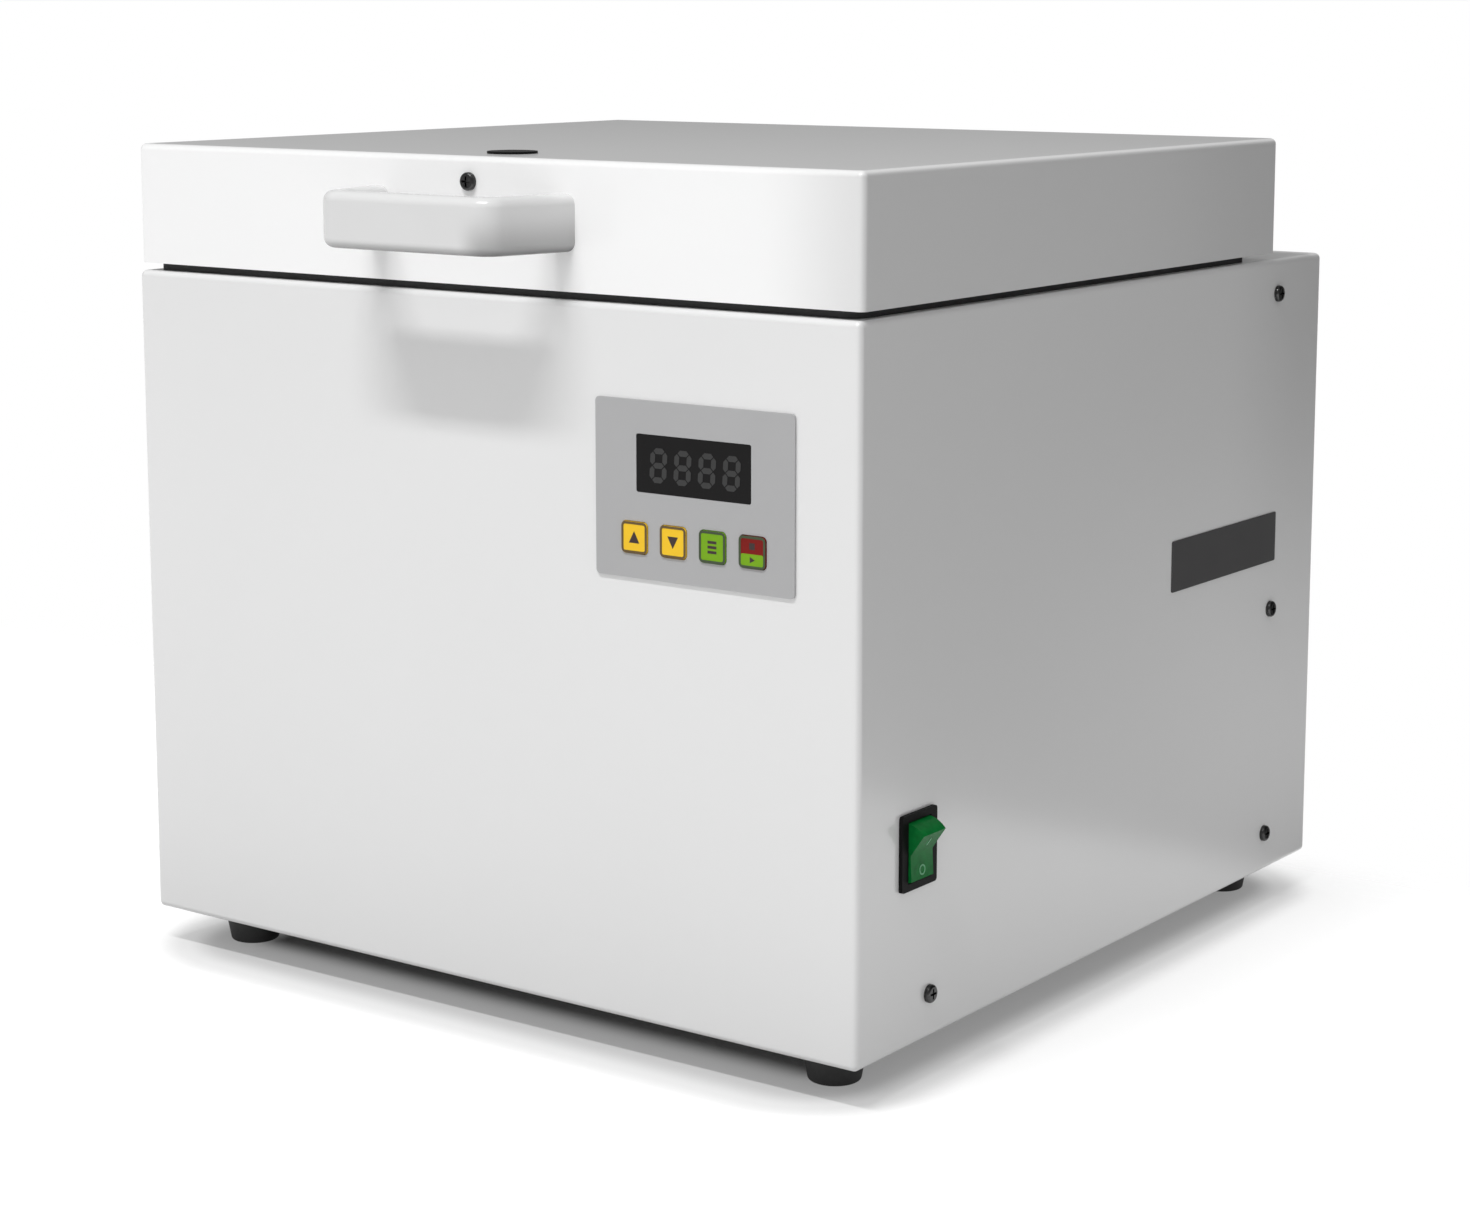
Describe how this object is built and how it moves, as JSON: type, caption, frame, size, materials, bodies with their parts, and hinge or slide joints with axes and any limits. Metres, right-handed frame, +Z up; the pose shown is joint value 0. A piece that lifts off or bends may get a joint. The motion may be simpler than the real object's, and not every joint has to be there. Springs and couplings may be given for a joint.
{
  "type": "dental lab light curing unit",
  "caption": "Bench-top light curing cabinet with a hinged lid over a mirrored lamp chamber, front control panel, side rocker switch, rear fan and mains inlet.",
  "frame": {"origin": "on the bench, under the middle of the cabinet's body (handle, hinge and rear fittings not counted)", "axes": "+Z up, -Y towards the handle and control panel, +Y towards the fan and mains inlet, +X towards the side with the rocker switch"},
  "size_m": [0.4215, 0.4698, 0.39],
  "materials": {
    "white_coat": "smooth glossy powder coat",
    "grey_coat": "satin",
    "handle_white": "gloss",
    "mirror_sheet": "bright rolled aluminium",
    "clear_glass": "clear",
    "lamp_glass": "white phosphor-coated glass",
    "screw_steel": "zinc plated",
    "hinge_steel": "brushed",
    "foot_rubber": "matte",
    "seal_rubber": "matte",
    "black_plastic": "satin",
    "panel_grey": "satin overlay",
    "display_window": "smoked, clear",
    "plate_grey": "satin, bare",
    "key_yellow": "satin",
    "key_green": "satin",
    "key_red": "satin",
    "rocker_green": "translucent gloss",
    "holder_white": "matte",
    "clip_clear": "gloss",
    "ballast_steel": "satin",
    "board_green": "satin",
    "spacer_brass": "plain",
    "guard_chrome": "bright",
    "magnet_steel": "plain"
  },
  "bodies": {
    "cabinet": {"ballasts": "ballast_steel", "base_pan": "grey_coat", "board_spacers": "spacer_brass", "cabinet_lamp_clips": "clip_clear", "cabinet_lamp_holders": "holder_white", "casing_screws": "screw_steel", "control_board": "board_green", "control_panel": "panel_grey", "display_lens": "display_window", "display_module": "black_plastic", "fan_frame": "black_plastic", "fan_guard": "guard_chrome", "floor_lamp_1": "lamp_glass", "floor_lamp_2": "lamp_glass", "floor_lamp_3": "lamp_glass", "floor_lamp_4": "lamp_glass", "foot_front_left": "foot_rubber", "foot_front_right": "foot_rubber", "foot_rear_left": "foot_rubber", "foot_rear_right": "foot_rubber", "hinge_bulkhead": "grey_coat", "hinge_fixed_leaf": "hinge_steel", "hinge_pin": "screw_steel", "interlock_sensor": "black_plastic", "label_plate": "plate_grey", "left_lamp_lower": "lamp_glass", "left_lamp_upper": "lamp_glass", "lid_seal": "seal_rubber", "lid_stops": "foot_rubber", "outer_casing": "white_coat", "power_inlet": "black_plastic", "rear_panel": "white_coat", "reflector_tub": "mirror_sheet", "right_lamp_lower": "lamp_glass", "right_lamp_upper": "lamp_glass", "shelf_brackets": "hinge_steel", "switch_housing": "black_plastic"},
    "lid": {"lid_shell": "white_coat", "lid_inner_frame": "white_coat", "lid_reflector": "mirror_sheet", "lid_pane": "clear_glass", "handle": "handle_white", "lid_screws": "screw_steel", "lid_plug": "black_plastic", "interlock_magnet": "magnet_steel", "hinge_moving_leaf": "hinge_steel", "lid_lamp_holders": "holder_white", "lid_lamp_clips": "clip_clear", "lid_lamp_1": "lamp_glass", "lid_lamp_2": "lamp_glass", "lid_lamp_3": "lamp_glass", "lid_lamp_4": "lamp_glass"},
    "glass_shelf": {"glass_shelf": "clear_glass"},
    "switch_rocker": {"switch_rocker": "rocker_green"},
    "fan_rotor": {"fan_rotor": "black_plastic"},
    "fuse_drawer": {"fuse_drawer": "black_plastic"},
    "key_up": {"key_up": "key_yellow"},
    "key_down": {"key_down": "key_yellow"},
    "key_program": {"key_program": "key_green"},
    "key_start_stop": {"key_start_stop": "key_red"}
  },
  "joints": [
    {"name": "lid_hinge", "type": "hinge", "parent": "cabinet", "child": "lid", "pos_m": [0, 0.1607, 0.333], "axis": [-1, 0, 0], "range_deg": [0, 90]},
    {"name": "shelf_lift", "type": "slide", "parent": "cabinet", "child": "glass_shelf", "axis": [0, 0, 1], "range_m": [0, 0.16]},
    {"name": "rocker_tilt", "type": "hinge", "parent": "cabinet", "child": "switch_rocker", "pos_m": [0.2042, -0.166, 0.104], "axis": [0, -1, 0], "range_deg": [0, 32]},
    {"name": "fan_spin", "type": "hinge", "parent": "cabinet", "child": "fan_rotor", "pos_m": [0.11, 0.2105, 0.183], "axis": [0, 1, 0], "continuous": true},
    {"name": "fuse_drawer_pull", "type": "slide", "parent": "cabinet", "child": "fuse_drawer", "axis": [0, 1, 0], "range_m": [0, 0.02]},
    {"name": "key_up_press", "type": "slide", "parent": "cabinet", "child": "key_up", "axis": [0, 1, 0], "range_m": [0, 0.0005], "stiffness_N_per_m": 600, "springref_m": -0.0005},
    {"name": "key_down_press", "type": "slide", "parent": "cabinet", "child": "key_down", "axis": [0, 1, 0], "range_m": [0, 0.0005], "stiffness_N_per_m": 600, "springref_m": -0.0005},
    {"name": "key_program_press", "type": "slide", "parent": "cabinet", "child": "key_program", "axis": [0, 1, 0], "range_m": [0, 0.0005], "stiffness_N_per_m": 600, "springref_m": -0.0005},
    {"name": "key_start_stop_press", "type": "slide", "parent": "cabinet", "child": "key_start_stop", "axis": [0, 1, 0], "range_m": [0, 0.0005], "stiffness_N_per_m": 600, "springref_m": -0.0005}
  ]
}
